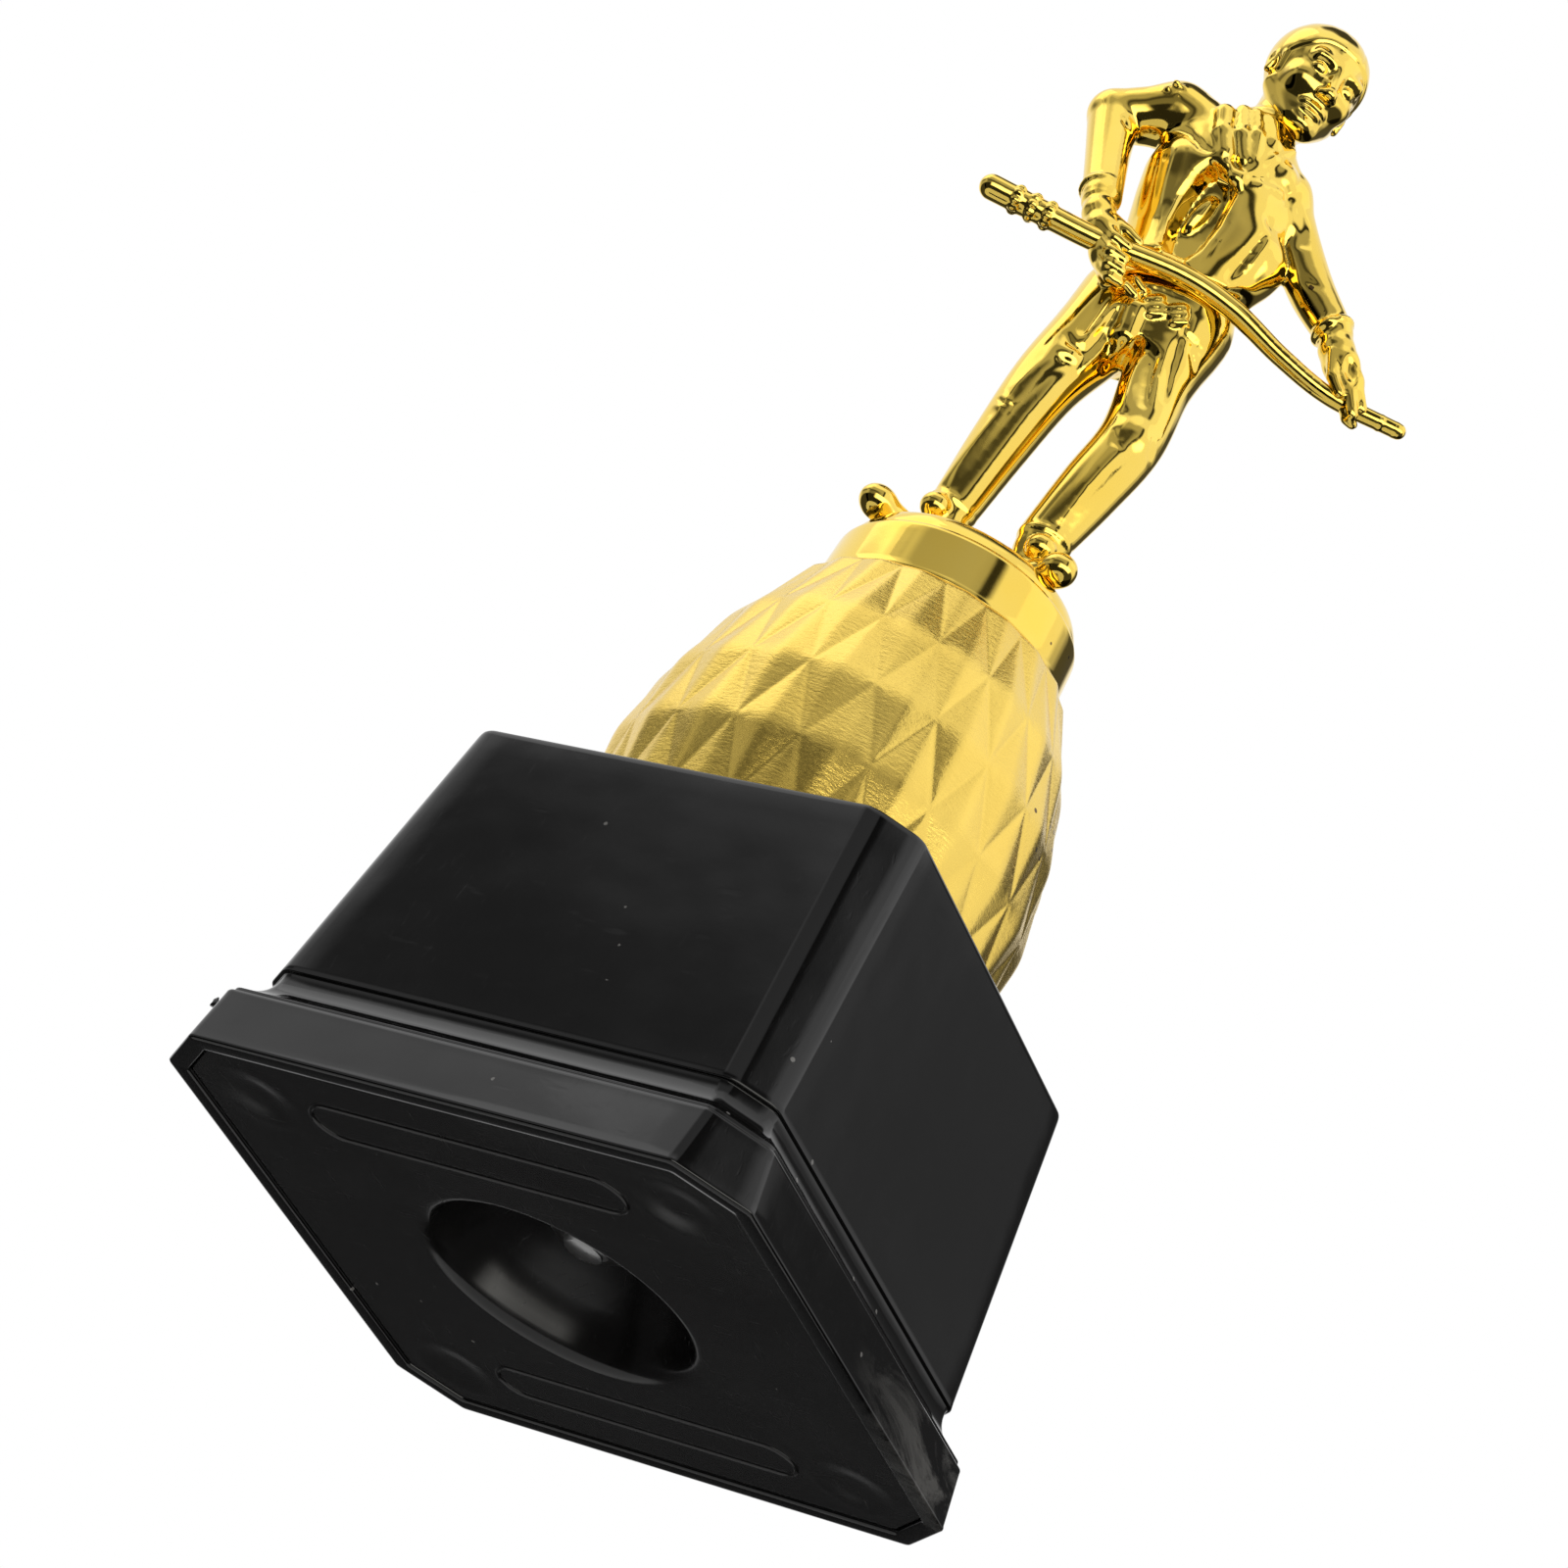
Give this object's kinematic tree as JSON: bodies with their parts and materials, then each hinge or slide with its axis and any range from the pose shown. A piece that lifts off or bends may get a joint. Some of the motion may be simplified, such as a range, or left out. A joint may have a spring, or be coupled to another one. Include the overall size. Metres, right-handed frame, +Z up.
{
  "type": "figure trophy",
  "caption": "Cue-sports figure trophy: black tapered square base, faceted gold riser, bright gold cap and a standing player holding a cue.",
  "frame": {"origin": "centre of the square standing face, on the tie rod's axis, at the underside of the foot", "axes": "+Z up along the tie rod, -Y out of the front side of the pedestal, +X to the right of that side"},
  "size_m": [0.08, 0.08, 0.2095],
  "materials": {
    "black_gloss": "glossy black moulded plastic with light scuffs",
    "black_plate": "black moulded plastic, slightly duller than the shell",
    "cast_weight": "rough cast iron, unpainted",
    "zinc_steel": "zinc plated steel thread",
    "washer_steel": "zinc plated steel",
    "nut_steel": "zinc plated steel",
    "satin_gold": "metallised plastic, satin gold with fine circumferential brushing",
    "bright_gold_cap": "vacuum metallised plastic, mirror bright gold",
    "bright_gold": "vacuum metallised plastic, mirror bright gold",
    "bright_gold_cue": "vacuum metallised plastic, mirror bright gold"
  },
  "bodies": {
    "root": {"base_shell": "black_gloss", "bottom_plate": "black_plate", "ballast_weight": "cast_weight", "tie_rod": "zinc_steel", "lower_washer": "washer_steel", "lower_nut": "nut_steel", "riser": "satin_gold", "cap": "bright_gold_cap", "cap_nut": "nut_steel", "figure": "bright_gold", "cue": "bright_gold_cue"}
  },
  "joints": []
}
